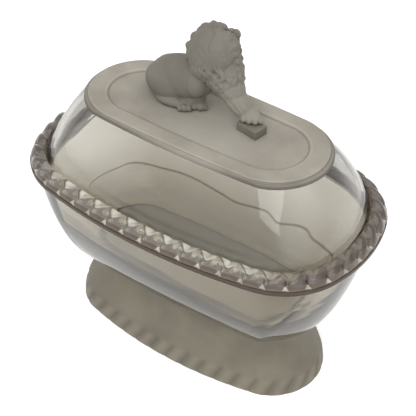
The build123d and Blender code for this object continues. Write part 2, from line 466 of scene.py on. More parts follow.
def near_wall_painting(tree, spot):
    """Masks painted on the near wall: a dark line that stands in for a reflection, joined by a band of
    painted shade just above the rope edge, and painted shade on the glass below the line.
    """
    course = node(tree, "FloatCurve", Value=reckon(tree, "MULTIPLY_ADD", spot["X"], 1 / 0.22, 0.5))
    points = course.mapping.curves[0].points
    places = [((x + 110) / 220, (z - 110) / 50) for x, z in REFLECTION_LINE_COURSE]
    points[0].location, points[1].location = places[0], places[-1]
    for place in places[1:-1]:
        points.new(*place)
    course.mapping.update()
    height = reckon(tree, "MULTIPLY_ADD", course.outputs["Value"], 0.05, 0.11)
    gap = reckon(tree, "SUBTRACT", spot["Z"], height)
    outside = reckon(tree, "LESS_THAN", flow_place(tree)[1], WALL_STEP / COVER_STEPS)
    near = product(tree, fade(tree, spot["Y"], 0.0, -0.004), outside)
    # Painted reflection: a dark line along the course, on the near side only
    line = product(tree, fade(tree, reckon(tree, "ABSOLUTE", gap), 0.0007, 0.0002), near)
    # Painted shade: the glass below the line a little darker
    below = product(tree, fade(tree, gap, 0.0006, -0.002), near)
    # Painted shade: a darker band on the near wall just above the rope edge
    seat = product(tree, fade(tree, apart(tree, spot["Z"], 0.1262), 0.0022, 0.0005),
                   fade(tree, apart(tree, spot["X"], 0.018), 0.06, 0.035), near, 0.55)
    return reckon(tree, "MAXIMUM", line, seat), below


def cover_tones(tree, place, spot, finish, rope):
    """Colour of the cover's glass and how clear it is: the wall's clear tint, painted reflection and shade
    on the near wall, and painted highlights and shade on the rope edge.
    """
    # The first mask is the painted reflection line with its band of painted shade, the second the painted
    # shade below it
    line, below = near_wall_painting(tree, spot)
    leaf_glint, band, notch_glint, crease_shade, inside = rope_marks(tree, rope)
    # Painted shade: away from the near side's straight run the rope edge is darker and its painted
    # highlights fainter
    side = product(tree, fade(tree, spot["Y"], -0.042, -0.055),
                   fade(tree, reckon(tree, "ABSOLUTE", spot["X"]), 0.098, 0.065))
    far_rope_shade = product(tree, reckon(tree, "SUBTRACT", 1.0, side), inside)
    leaf_glint = product(tree, leaf_glint, reckon(tree, "MULTIPLY_ADD", side, 0.65, 0.22))
    light = reckon(tree, "MAXIMUM", leaf_glint, product(tree, notch_glint, 0.7))
    # Colour of the painted highlights, mottled
    mottle = node(tree, "TexNoise", Scale=260, Vector=place).outputs["Fac"]
    bright = blend(tree, fade(tree, mottle, 0.35, 0.6), toned(finish.rope_glint, 0.62), finish.rope_glint)
    # Painted over the clear tint: shade below the reflection line, shade over the whole rope edge (partly
    # the deeper tint of thick glass), more shade away from the near side, the reflection line, shade in the
    # creases and on the dark band, and the highlights
    colour = layers(tree, finish.clear_tint, (
        (below, toned(finish.clear_tint, 0.94)), (inside, (0.50, 0.455, 0.375)), (far_rope_shade, (0.2, 0.155, 0.12)),
        (line, (0.16, 0.13, 0.09)), (crease_shade, (0.13, 0.1, 0.08)), (band, finish.rim_shade), (light, bright)))
    # The painted highlights and shade also make the glass less clear
    losses = ((light, -0.8), (band, -0.55), (crease_shade, -0.5), (inside, -0.3))
    return colour, product(tree, *(reckon(tree, "MULTIPLY_ADD", mask, loss, 1.0) for mask, loss in losses))


def bowl_tones(tree, spot, finish):
    """Colour of the bowl's glass and how clear it is: painted shade low on the side, on the rim band and
    its edge and on the collar, and painted light on the floor.
    """
    along = flow_place(tree)[1]
    # Painted shade: the lower side of the bowl darker
    low = fade(tree, spot["Z"], 0.088, 0.056)
    # Painted shade, partly the deeper tint of thick glass: the dark rim band, with a darker line at its
    # edge
    band = fade(tree, spot["Z"], 0.1116, 0.1122)
    edge = fade(tree, apart(tree, spot["Z"], 0.1129), 0.0009, 0.0005)
    # Painted shade on the collar under the bowl
    collar = product(tree, fade(tree, spot["Z"], 0.0475, 0.0462), 0.7)
    # Painted light: the cavity's floor pale and mostly solid, brightening what shows through it
    lit_floor = reckon(tree, "GREATER_THAN", along, 0.9999)
    colour = layers(tree, finish.bowl_tint, (
        (low, (0.61, 0.575, 0.48)), (band, toned(finish.rim_shade, 0.55)),
        (edge, toned(finish.rim_shade, 0.25)), (collar, (0.52, 0.48, 0.38)), (lit_floor, (0.92, 0.89, 0.8))))
    # Painted shade: on its outer face the lower side is slightly solid
    outer = product(tree, low, fade(tree, along, 0.5, 0.45))
    solid = 0.0
    for mask, share in ((band, 0.8), (lit_floor, 0.75), (outer, 0.16)):
        solid = reckon(tree, "MAXIMUM", solid, product(tree, mask, share))
    return colour, reckon(tree, "SUBTRACT", 1.0, solid)


def clear_glass(name, finish, rope=None):
    """Clear pressed glass: faintly grey, with the slow waves that a mould leaves, and with painted light
    and shade on the cover's rope edge and near wall and on the bowl.
    """
    tree, shader = new_material(name)
    place, spot = object_place(tree)
    if rope:
        colour, clear = cover_tones(tree, place, spot, finish, rope)
        tint, gloss, strength, stretch = (1, 1, 0.985), 0.5, 0.25, (1, 1, 1)
    else:
        colour, clear = bowl_tones(tree, spot, finish)
        tint, gloss, strength, stretch = (1, 0.92, 0.78), 0.2, 0.5, (0.3, 0.3, 1.5)
    lie = node(tree, "Mapping", Vector=place, Scale=stretch).outputs["Vector"]
    waves = node(tree, "TexNoise", Vector=lie, Scale=28, Detail=2)
    fill(tree, shader, Roughness=finish.clear_roughness, IOR=1.5, Specular_Tint=tint,
         Specular_IOR_Level=gloss, Base_Color=colour, Transmission_Weight=clear,
         Normal=bumps(tree, waves, strength, 0.0006))
    depth = node(tree, "VolumeAbsorption", Color=finish.depth_tint, Density=finish.depth)
    fill(tree, tree.nodes["Material Output"], Volume=depth.outputs["Volume"])


def panel_light_and_shade(tree, place, spot, colour, light):
    """The top panel's colour: painted light and shade by height, and painted light, paler, where the lion
    stands.
    """
    low, high = PANEL_LIGHT_AND_SHADE[0][0], PANEL_LIGHT_AND_SHADE[-1][0]
    # Painted light and shade, by height
    stops = [((z - low) / (high - low), (tone, tone * 0.985, tone * 0.96)) for z, tone in PANEL_LIGHT_AND_SHADE]
    tone = colour_ramp(tree, fade(tree, spot["Z"], low * MM, high * MM), stops)
    # Painted light: paler glass round the lion's feet
    gap = reckon(tree, "DISTANCE", place, LION_LIGHT_SPOT, kind="VectorMath")
    near = product(tree, fade(tree, gap, 0.042, 0.012), fade(tree, spot["Z"], 0.1617, 0.1613), 0.5)
    return blend(tree, near, blend(tree, 1, colour, tone, "MULTIPLY"), toned(light, 1.35))


def carved_light_and_shade(tree, spot, colour, dark, light):
    """The lion's colour: painted light down the chest and foreleg, painted shade in the hollows of the
    carving.
    """
    # Painted shade: darker in the hollows, through ambient occlusion
    crevice_shade = node(tree, "AmbientOcclusion", Distance=0.0022)
    crevice_shade.samples = 8
    # Painted light: paler down the chest and foreleg
    lit_front = product(tree, fade(tree, spot["X"], 0.003, 0.013), fade(tree, spot["Z"], 0.197, 0.184))
    return layers(tree, colour, (
        (lit_front, toned(light, 1.3)), (fade(tree, crevice_shade.outputs["AO"], 0.8, 0.3), toned(dark, 0.4))))


def border_light_and_shade(tree, spot, colour, dark, light, strands):
    """The foot's colour: painted shade in the grooves and painted highlights on the crowns along its rope
    border.
    """
    lean = reckon(tree, "MULTIPLY", spot["Z"], BORDER_LEAN / BORDER_Z / MM)
    run = reckon(tree, "SUBTRACT", reckon(tree, "MULTIPLY", flow_place(tree)[0], strands), lean)
    groove = strand_place(tree, run)[1]
    # Painted shade and highlights, low on the border
    low = fade(tree, spot["Z"], 0.0125, 0.0095)
    return layers(tree, colour, (
        (product(tree, fade(tree, groove, 0.2, 0.02), low, 0.4), toned(dark, 0.55)),
        (product(tree, fade(tree, groove, 0.22, 0.4), low, 0.4), toned(light, 1.35))))


def frosted_glass(name, dark, light, grain=0.5, clear=0.0, zone="", strands=0):
    """Acid-frosted glass: a dull, faintly mottled skin with a fine grain, with painted light and shade for
    its zone.
    """
    tree, shader = new_material(name)
    place, spot = object_place(tree)
    cloud = node(tree, "TexNoise", Vector=place, Scale=45, Detail=4)
    colour = colour_ramp(tree, cloud.outputs["Fac"], ((0.35, dark), (0.65, light)))
    if zone == "panel":
        colour = panel_light_and_shade(tree, place, spot, colour, light)
    if zone == "lion":
        colour = carved_light_and_shade(tree, spot, colour, dark, light)
    if zone == "foot":
        colour = border_light_and_shade(tree, spot, colour, dark, light, strands)
    fine = node(tree, "TexNoise", Vector=place, Scale=900, Detail=2)
    fill(tree, shader, Roughness=0.6, IOR=1.5, Specular_IOR_Level=0.2, Base_Color=colour,
         Transmission_Weight=clear, Normal=bumps(tree, fine, grain, 0.0004))


# Rounded forms of the lion: place from the middle of its stance, half sizes, lean and turn in degrees
TRUNK = (
    ((-22, 0, 16), (23, 11, 13.5), -15, 0),
    ((-30.8, -4, 11.8), (13.8, 9, 12.2), 0, 0),
    ((-30.8, 4, 11.8), (13.8, 9, 12.2), 0, 0),
    ((-9.5, -3.6, 18.5), (7.5, 7.5, 9.5), 12, 0),
    ((-9.5, 3.6, 18.5), (7.5, 7.5, 9.5), 12, 0),
    ((-23, 1, 7), (12, 7.4, 7.5), 0, 0),
    ((-10.3, -1.2, 10), (4.6, 4.4, 10), 0, 0),
    ((-9.7, -1.2, 2.6), (5.6, 4.2, 3.2), 0, -20),
    ((-15.5, -3.2, 4.6), (6.5, 4.4, 6.0), 0, 0),
)
HIND_PAWS = (
    ((-25, -8.6, 3.0), (10, 4.2, 3.4), 0, 4),
    ((-25, 8.6, 3.0), (10, 4.2, 3.4), 0, -4),
)
TOES = (
    ((-16.9, -10.4, 2.0), (2.7, 1.6, 2.3), 0, -50),
    ((-14.6, -9.3, 2.1), (2.8, 1.6, 2.5), 0, -42),
    ((-12.5, -7.8, 2.0), (2.7, 1.6, 2.4), 0, -30),
    ((-17.2, 10.2, 2.0), (3.0, 1.6, 2.3), 0, 20),
    ((-15.2, 8.2, 2.1), (3.0, 1.6, 2.4), 0, 8),
    ((-15.2, 6.2, 2.0), (2.8, 1.6, 2.3), 0, 0),
    ((-10.6, -4.6, 1.9), (2.5, 1.4, 2.1), 0, -60),
    ((-7.9, -3.5, 2.0), (2.6, 1.4, 2.2), 0, -40),
    ((-5.6, -1.6, 1.9), (2.5, 1.4, 2.1), 0, -15),
    ((22.3, -4.0, 7.6), (2.9, 1.7, 2.2), 0, -55),
    ((25.6, -3.7, 7.7), (3.0, 1.7, 2.3), 0, -45),
    ((28.6, -2.4, 7.6), (3.0, 1.7, 2.2), 0, -30),
    ((30.6, -0.2, 7.4), (2.8, 1.7, 2.1), 0, -10),
)
MANE = (
    ((-3.0, 0, 37.8), (13.4, 12.0, 16.2), 0, 0),
    ((4.2, 0, 42.6), (9.6, 10.6, 11.8), 0, 0),
    ((6.0, 0, 29.5), (11.4, 9.2, 13.5), 0, 0),
    ((9.8, -0.4, 23.4), (11.5, 7.4, 8.2), 56, 0),
    ((15.2, -0.6, 15.8), (12.5, 6.0, 5.7), 49, 0),
    ((24.0, 0, 8.6), (7.8, 4.8, 3.6), 0, -10),
)
FACE = (
    ((-1.3, 12.4, 40.5), (7.4, 6.6, 8.0), 0, 0),
    ((-1.3, 17.0, 36.4), (4.4, 4.6, 3.8), 0, 0),
    ((-1.3, 16.2, 41.0), (2.4, 3.6, 5.0), 0, 0),
    ((-1.3, 20.2, 38.4), (2.0, 1.3, 1.2), 0, 0),
    ((-1.3, 17.4, 32.6), (2.8, 2.6, 2.2), 0, 0),
    ((-3.3, 19.0, 35.9), (2.3, 2.1, 2.0), 0, 0),
    ((0.7, 19.0, 35.9), (2.3, 2.1, 2.0), 0, 0),
    ((-4.4, 17.2, 44.4), (2.7, 1.5, 1.2), 12, 0),
    ((1.8, 17.2, 44.4), (2.7, 1.5, 1.2), -12, 0),
    ((-4.1, 17.4, 42.3), (1.3, 0.9, 0.9), 0, 0),
    ((1.5, 17.4, 42.3), (1.3, 0.9, 0.9), 0, 0),
    ((-8.8, 10.5, 49.2), (2.8, 1.9, 3.2), 0, 0),
    ((6.2, 10.5, 49.2), (2.8, 1.9, 3.2), 0, 0),
)
# Curls that scallop the mane's edge: place and half size
CURLS = (
    (-13.4, -4.7, 41.7, 3.2), (-13.4, -0.6, 45.8, 3.0), (-11.9, 2.8, 48.2, 2.8), (-10.4, 4.9, 49.2, 3.6),
    (-7.6, 7.1, 49.5, 3.6), (-4.6, 9.2, 49.6, 3.6), (-3.0, 10.2, 49.5, 3.1), (2.0, 12.0, 47.9, 2.6),
    (4.0, 12.3, 46.8, 2.5), (5.3, 10.9, 44.6, 2.7), (7.0, 9.4, 41.9, 2.9), (9.8, 6.5, 37.1, 2.7),
    (13.1, 4.1, 32.5, 2.8), (15.6, 1.2, 28.0, 2.6), (-11.8, -6.8, 38.5, 3.0),
    (-5.4, 0, 52.2, 3.2), (-15.8, 0, 32.4, 3.2), (1.0, 0.4, 52.6, 3.4), (7.2, -0.3, 51.6, 3.4),
    (11.6, 0.4, 48.6, 3.0), (12.8, 0, 44.4, 2.7), (13.4, 0.6, 39.8, 2.9), (14.0, -0.2, 35.2, 2.9),
    (17.6, 0, 21.4, 2.0),
    (-12.4, 6.2, 40.8, 3.5), (-12.8, 6.0, 34.4, 3.4), (-10.4, 6.0, 28.6, 3.2), (10.6, 6.0, 29.6, 3.2),
)
# Long locks on the near side: where each begins, its length, half width and sway
NEAR_LOCKS = (
    (-10.2, 31.0, 10, 1.0, 0.9), (-8.0, 33.4, 12, 1.1, 1.0), (-5.6, 34.6, 13, 1.1, 0.95),
    (-3.2, 35.4, 15, 1.1, 1.05), (-0.8, 35.6, 17, 1.1, 0.9), (1.6, 36.2, 18, 1.1, 1.0),
    (4.0, 36.0, 17, 1.1, 0.9), (6.6, 36.8, 15, 1.1, 1.05), (9.4, 37.6, 14, 1.0, 0.9),
    (-9.4, 28.0, 9, 0.9, 1.0), (-2.0, 28.0, 12, 1.0, 0.9), (3.0, 28.0, 13, 1.0, 1.0),
    (8.0, 29.4, 12, 0.9, 0.9),
)
# Fine locks down the chest and foreleg: rows, locks in a row
CHEST_ROWS, CHEST_LOCKS = 6, 25
# Course of the tail: place and half width
TAIL = (
    ((-43, 2, 6), 1.6), ((-46, 8, 3), 1.5), ((-41, 14.5, 2.2), 1.4), ((-31, 16.5, 2.2), 1.4),
    ((-22, 15.5, 2.4), 2.6), ((-15, 14, 2.6), 0.8),
)
# Block under the paw: middle above the panel's recess, size and turn in degrees
BLOCK_PLACE, BLOCK_SIZE, BLOCK_TURN = (27.6, 5.0, 2.7), (14.7, 9.6, 5.4), -10
# Directions round a lock of hair or the tail, and the steps along a lock
TURNS = [math.pi * corner / 4 for corner in range(8)]
LOCK_STEPS = 9


def form_matrix(form):
    """Where a rounded form of the lion lies and how far it swells, in millimetres."""
    place, radii, lean, turn = form
    return (
        Matrix.Translation(place)
        @ Matrix.Rotation(math.radians(turn), 4, "Z")
        @ Matrix.Rotation(math.radians(lean), 4, "Y")
        @ Matrix.Diagonal((*radii, 1))
    )


def curl_matrix(curl):
    """Where a curl of the mane lies and how large it is, in millimetres."""
    return Matrix.Translation(curl[:3]) @ Matrix.Scale(curl[3], 4)


def on_skin(point, forms, lift):
    """The nearest spot on the skin of the forms, given as inverse matrices, and the way out there."""
    for _ in range(6):
        best = None
        for inverse in forms:
            local = inverse @ point
            reach = max(local.length, 1e-6)
            slope = (inverse.to_3x3().transposed() @ local) / reach
            gap = (reach - 1) / slope.length
            if best is None or gap < best[0]:
                best = (gap, slope.normalized())
        out = best[1]
        point = point - out * (best[0] - lift)
    return point, out


def lock(start, forms, flow, length, thick, sway, phase, lift):
    """Rings of an S-shaped, tapering lock of hair that lies on the forms and follows the flow."""
    rings, point = [], start
    for step in range(LOCK_STEPS + 1):
        share = step / LOCK_STEPS
        point, out = on_skin(point, forms, thick * lift)
        way = flow(point)
        way = (way - out * way.dot(out)).normalized()
        side = out.cross(way)
        bend = sway * math.sin(2 * math.pi * share + phase)
        way = (way * math.cos(bend) + side * math.sin(bend)).normalized()
        side = out.cross(way)
        swell = 0.35 + 0.65 * math.sin(math.pi * min(1, share * 1.1) ** 0.8)
        wide = thick * swell * (1 - share ** 5 * 0.8)
        rings.append([point + side * wide * math.cos(a) + out * wide * 0.9 * math.sin(a) for a in TURNS])
        point = point + way * length / LOCK_STEPS
    return rings


def hang(point):
    """The way that the hair of the mane hangs."""
    return Vector((0.25 * (point.x / 15) ** 3, -0.5 if point.z > 48 else 0.0, -1))


def hang_leg(point):
    """The way that the hair lies down the chest and along the foreleg."""
    bend = max(0.0, min(1.0, (30 - point.z) / 10))
    return Vector((0.66 * bend, 0, -1 + 0.25 * bend))


def mane_locks(settings):
    """Rings of every lock of hair: over the head, on the near side, down the chest and foreleg."""
    crown = [form_matrix(form).inverted() for form in MANE[:4]]
    crown += [curl_matrix(curl).inverted() for curl in CURLS]
    chest = [form_matrix(form).inverted() for form in MANE[2:5]]
    half = settings.lock_width / MM / 2
    golden = math.pi * (3 - math.sqrt(5))
    locks = []
    for index in range(settings.locks):
        height = 1 - 2 * (index + 0.5) / settings.locks
        reach = math.sqrt(1 - height * height)
        spot = Vector((reach * math.cos(golden * index), reach * math.sin(golden * index), height))
        if spot.y > 0.62 or height < -0.75:
            continue
        start = Vector((-0.8 + spot.x * 15, spot.y * 13, 38 + spot.z * 17))
        worn = spot.y < 0.1 and height > -0.2 or height > 0.55
        thick, lift = (half * 0.75, -0.35) if worn else (half * 0.95, 0.1)
        locks.append(lock(start, crown, hang, 9, thick, 0.7, index * 1.9, lift))
    for x, z, length, half_width, sway in NEAR_LOCKS:
        locks.append(lock(Vector((x, -12, z)), crown, hang, length, half_width, sway, 0.4, 0.85))
    for index in range(CHEST_ROWS * CHEST_LOCKS):
        row = index // CHEST_LOCKS
        angle = math.radians(index * 360 / CHEST_LOCKS + row * 8)
        along = Vector((6 + 2.2 * row, -0.4, 30 - 3.8 * row))
        start = along + Vector((math.cos(angle), math.sin(angle), 0.5 * math.cos(angle))) * 9
        locks.append(lock(start, chest, hang_leg, 12, 0.6, 0.18, index * 2.3, 0.45))
    return locks


def tail_rings():
    """Rings of points along the tail."""
    spots = [Vector(spot) for spot, _ in TAIL]
    rings = []
    for number, (_, wide) in enumerate(TAIL):
        way = (spots[min(number + 1, len(TAIL) - 1)] - spots[max(number - 1, 0)]).normalized()
        side = Vector((0, 0, 1)).cross(way).normalized()
        rings.append([
            spots[number] + side * wide * math.cos(a) + Vector((0, 0, wide * math.sin(a))) for a in TURNS])
    return rings


class FinishSettings(bpy.types.PropertyGroup):
    """Colours and surface of the glass."""
    clear_tint: FloatVectorProperty(
        name="Clear tint", description="Colour that light takes through a wall of clear glass",
        subtype="COLOR", size=3, min=0, max=1, default=(0.72, 0.725, 0.715))
    bowl_tint: FloatVectorProperty(
        name="Bowl tint", description="Colour that light takes through the bowl's wall",
        subtype="COLOR", size=3, min=0, max=1, default=(0.80, 0.78, 0.715))
    # Painted highlight: colour of the glint on each strand of the rope edge
    rope_glint: FloatVectorProperty(
        name="Rope, bright", description="Bright face of each strand of the rope edge",
        subtype="COLOR", size=3, min=0, max=1, default=(0.60, 0.57, 0.49))
    # Painted shade, partly the deeper tint of thick glass: the dark band along the rim of cover and bowl
    rim_shade: FloatVectorProperty(
        name="Rope, dark", description="Deep tone of the thick glass along the rim",
        subtype="COLOR", size=3, min=0, max=1, default=(0.15, 0.112, 0.085))
    depth_tint: FloatVectorProperty(
        name="Depth tint", description="Colour that thick clear glass deepens to",
        subtype="COLOR", size=3, min=0, max=1, default=(0.46, 0.39, 0.29))
    depth: FloatProperty(
        name="Depth", description="How strongly thick clear glass deepens, per metre",
        default=85, min=0, max=400)
    clear_roughness: FloatProperty(
        name="Clear roughness", description="Roughness of the clear glass", default=0.03, min=0, max=1)
    frost_dark: FloatVectorProperty(
        name="Frost, dark", description="Darker tone of the frosted glass",
        subtype="COLOR", size=3, min=0, max=1, default=(0.252, 0.235, 0.203))
    frost_light: FloatVectorProperty(
        name="Frost, light", description="Lighter tone of the frosted glass",
        subtype="COLOR", size=3, min=0, max=1, default=(0.315, 0.294, 0.256))
    lion_dark: FloatVectorProperty(
        name="Lion, dark", description="Darker tone of the lion",
        subtype="COLOR", size=3, min=0, max=1, default=(0.15, 0.137, 0.114))
    lion_light: FloatVectorProperty(
        name="Lion, light", description="Lighter tone of the lion",
        subtype="COLOR", size=3, min=0, max=1, default=(0.19, 0.176, 0.15))
    foot_dark: FloatVectorProperty(
        name="Foot, dark", description="Darker tone of the foot",
        subtype="COLOR", size=3, min=0, max=1, default=(0.235, 0.211, 0.163))
    foot_light: FloatVectorProperty(
        name="Foot, light", description="Lighter tone of the foot",
        subtype="COLOR", size=3, min=0, max=1, default=(0.30, 0.27, 0.21))


class RopeSettings(bpy.types.PropertyGroup):
    """Strands of the rope edge and of the foot's border."""
    edge_strands: IntProperty(
        name="Edge strands", description="Strands round the cover's rope edge", default=47, min=12, max=80)
    edge_phase: FloatProperty(
        name="Edge start", description="Where the first strand begins, as a share of one", default=0.42)
    edge_groove: FloatProperty(
        name="Edge groove", description="Depth of the grooves between the strands",
        default=0.0023, min=0, max=0.004, unit="LENGTH")
    border_strands: IntProperty(
        name="Border strands", description="Strands round the foot's border", default=36, min=12, max=80)
    border_relief: FloatProperty(
        name="Border relief", description="How far the border's strands stand out",
        default=0.0011, min=0, max=0.003, unit="LENGTH")


class LionSettings(bpy.types.PropertyGroup):
    """The lion's carving."""
    locks: IntProperty(
        name="Locks", description="Locks of hair spread over the maned head", default=230, min=20, max=400)
    lock_width: FloatProperty(
        name="Lock width", description="Greatest width of a lock of the mane",
        default=0.0024, min=0.001, max=0.006, unit="LENGTH")
    grain: FloatProperty(
        name="Carving grain", description="Finest detail that the carving keeps",
        default=0.0005, min=0.0003, max=0.002, unit="LENGTH")


class DISH_OT_materials(bpy.types.Operator):
    """Makes the glass materials"""
    bl_idname = "dish.materials"
    bl_label = "Glass"

    def execute(self, context):
        finish, rope = context.scene.dish_finish, context.scene.dish_rope
        clear_glass("clear_bowl_glass", finish)
        clear_glass("clear_cover_glass", finish, rope)
        frosted_glass("frosted_foot_glass", finish.foot_dark, finish.foot_light, grain=0.3, clear=0.35,
                      zone="foot", strands=rope.border_strands)
        frosted_glass("frosted_panel_glass", finish.frost_dark, finish.frost_light, grain=0.6, zone="panel")
        frosted_glass("frosted_lion_glass", finish.lion_dark, finish.lion_light, zone="lion")
        frosted_glass("frosted_block_glass", finish.lion_dark, finish.lion_light)
        return {"FINISHED"}


class DISH_OT_bowl(bpy.types.Operator):
    """Adds the clear bowl with its rim band and collar"""
    bl_idname = "dish.bowl"
    bl_label = "Bowl"

    def execute(self, context):
        collar_hole = inset(COLLAR, FOOT_WALL)
        rings = [level(collar_hole, BOWL_Z), level(collar_hole, COLLAR_Z + GAP)]
        rings += [level(COLLAR, z) for z in (COLLAR_Z + GAP, 43.0, 45.4)]
        rings.append(level(inset(BOWL_BASE, -0.2), BOWL_Z))
        shares = [(i / 22) ** 1.8 for i in range(1, 23)]
        for share in shares:
            oval = between(BOWL_BASE, BOWL_TOP, share, belly(share))
            rings.append(level(oval, BOWL_Z + (BOWL_TOP_Z - BOWL_Z) * share))
        rings.append(level(inset(RIM, 1.6), BOWL_TOP_Z + 0.1))
        for x, z in arc((1.2, 0.2), (0.0, 1.4), (1.2, 1.4), 4):
            rings.append(level(inset(RIM, x), BOWL_TOP_Z + z))
        for x, z in arc((0.0, 0.0), (0.4, 0.4), (0.4, 0.0), 4):
            rings.append(level(inset(RIM, x), SEAT_Z - 0.42 + z))
        rings.append(level(inset(CAVITY_TOP, -0.8), SEAT_Z - GAP))
        rings.append(level(CAVITY_TOP, SEAT_Z - 0.8))
        for share in reversed([0] + shares):
            oval = between(CAVITY_BASE, CAVITY_TOP, share, belly(share))
            rings.append(level(oval, FLOOR_Z + (BOWL_TOP_Z - FLOOR_Z) * share))
        piece("bowl_glass", loft(rings), "dish", "clear_bowl_glass", ("bowl", "bowl_collar"))
        return {"FINISHED"}


class DISH_OT_foot(bpy.types.Operator):
    """Adds the frosted, spreading foot with the low rope border round its edge"""
    bl_idname = "dish.foot"
    bl_label = "Foot"

    def execute(self, context):
        rope = context.scene.dish_rope
        flank = []
        for share in [i / 16 for i in range(17)][::-1]:
            oval = between(FOOT_SHOULDER, FOOT_NECK, share, ease(share ** 0.8))
            flank.append((oval, BORDER_Z + (NECK_Z - BORDER_Z) * share))
        top = (COLLAR, COLLAR_Z - GAP)
        outer = [top, (between(COLLAR, FOOT_NECK, 0.6, 0.6), 37.0)] + flank
        for z in (8.6, 7.6, 6.6, 5.6, 4.6, 3.6, 2.6, 1.6, 0.8, 0.0):
            outer.append((inset(FOOT_BASE, 1.3 * (z / BORDER_Z)), z))
        inner = [(FOOT_BASE, 0.0), (FOOT_SHOULDER, BORDER_Z)] + flank[::-1][1:] + [top]
        rings = []
        for oval, z in outer:
            ring = []
            worn = max(0.0, min(1.0, (15.0 - z) / 4.0)) * min(1.0, 0.35 + z / 2.0)
            for index, (p, out) in enumerate(outline(oval)):
                _, up = strand(index / AROUND, rope.border_strands, BORDER_LEAN * z / BORDER_Z)
                arch = up if z < 8 else max(0.0, up - (z - 8) * 0.16)
                p = p + out * (arch * worn * rope.border_relief / MM - 0.9 * worn)
                ring.append(Vector((p.x, p.y, z)) * MM)
            rings.append(ring)
        rings += [level(inset(oval, FOOT_WALL), z) for oval, z in inner]
        rings.append(rings[0])
        piece("foot_glass", loft(rings, closed=True), "dish", "frosted_foot_glass",
              ("foot", "foot_rope_border"))
        return {"FINISHED"}


class DISH_OT_cover(bpy.types.Operator):
    """Adds the clear cover wall with its flange, lip and rope edge"""
    bl_idname = "dish.cover"
    bl_label = "Cover"

    def execute(self, context):
        rope = context.scene.dish_rope
        rim = outline(RIM)
        wall = cover_wall(0.045)
        foot = outline(wall[-1][0])
        rings = [level(oval, z) for oval, z in wall]
        for number, (inward, z, hold) in enumerate(ROPE_SECTION):
            ring = []
            lean = rope.edge_phase + ROPE_LEAN * max(0.0, 1 - number / (len(ROPE_SECTION) - 1) / LEANING)
            depth = min(1.0, max(0.0, (z - 115.8) / 1.6)) * (1 - 0.5 * hold) * rope.edge_groove / MM
            for index, (p, out) in enumerate(rim):
                t, up = strand(index / AROUND, rope.edge_strands, lean)
                sunk = (1 - up) * depth
                ridge = 0.5 * t * math.exp(-((inward - 2.8) / 2.2) ** 2)
                q = p - out * (inward + ridge + sunk * (0.9 if inward < 3 else 0.2))
                q = q.lerp(foot[index][0] + foot[index][1] * 0.25, hold)
                ring.append(Vector((q.x, q.y, z - sunk * (1.0 if inward > 1.2 else 0.25))) * MM)
            rings.append(ring)
        rings.append(level(inset(RIM, 1.6), SEAT_Z + GAP))
        rings += [level(inset(CAVITY_TOP, inward), SEAT_Z + z) for inward, z in LIP_SECTION]
        rings += [level(inset(oval, COVER_WALL), z) for oval, z in cover_wall(0)[::-1]]
        rings.append(rings[0])
        piece("cover_glass", loft(rings, closed=True), "cover", "clear_cover_glass",
              ("cover_wall", "cover_rope_edge"))
        return {"FINISHED"}


class DISH_OT_panel(bpy.types.Operator):
    """Adds the frosted top panel with its raised band and shallow recess"""
    bl_idname = "dish.panel"
    bl_label = "Top panel"

    def execute(self, context):
        rings = [level(inset(WALL_HEAD, COVER_WALL), HEAD_Z), level(WALL_HEAD, HEAD_Z)]
        for x, z in arc((0.0, 0.0), (1.4, 1.4), (1.4, 0.0), 5):
            rings.append(level(inset(WALL_HEAD, x), SHOULDER_Z - 1.4 + z))
        rings.append(level(inset(BAND, -0.3), SHOULDER_Z))
        for x, z in arc((0.0, 0.0), (0.6, 0.6), (0.6, 0.0), 4):
            rings.append(level(inset(BAND, x), BAND_Z - 0.6 + z))
        rings.append(level(inset(RECESS, -0.5), BAND_Z))
        for share in (0.1, 0.3, 0.5, 0.7, 0.9, 1.0):
            rings.append(level(inset(RECESS, 3.2 * share), BAND_Z - (BAND_Z - RECESS_Z) * ease(share)))
        rings += [level(inset(RECESS, x), RECESS_Z) for x in (5, 7, 9, 12, 15, 18, 20.5)]
        piece("top_panel_glass", loft(rings), "cover", "frosted_panel_glass",
              ("cover_top_panel",))
        return {"FINISHED"}


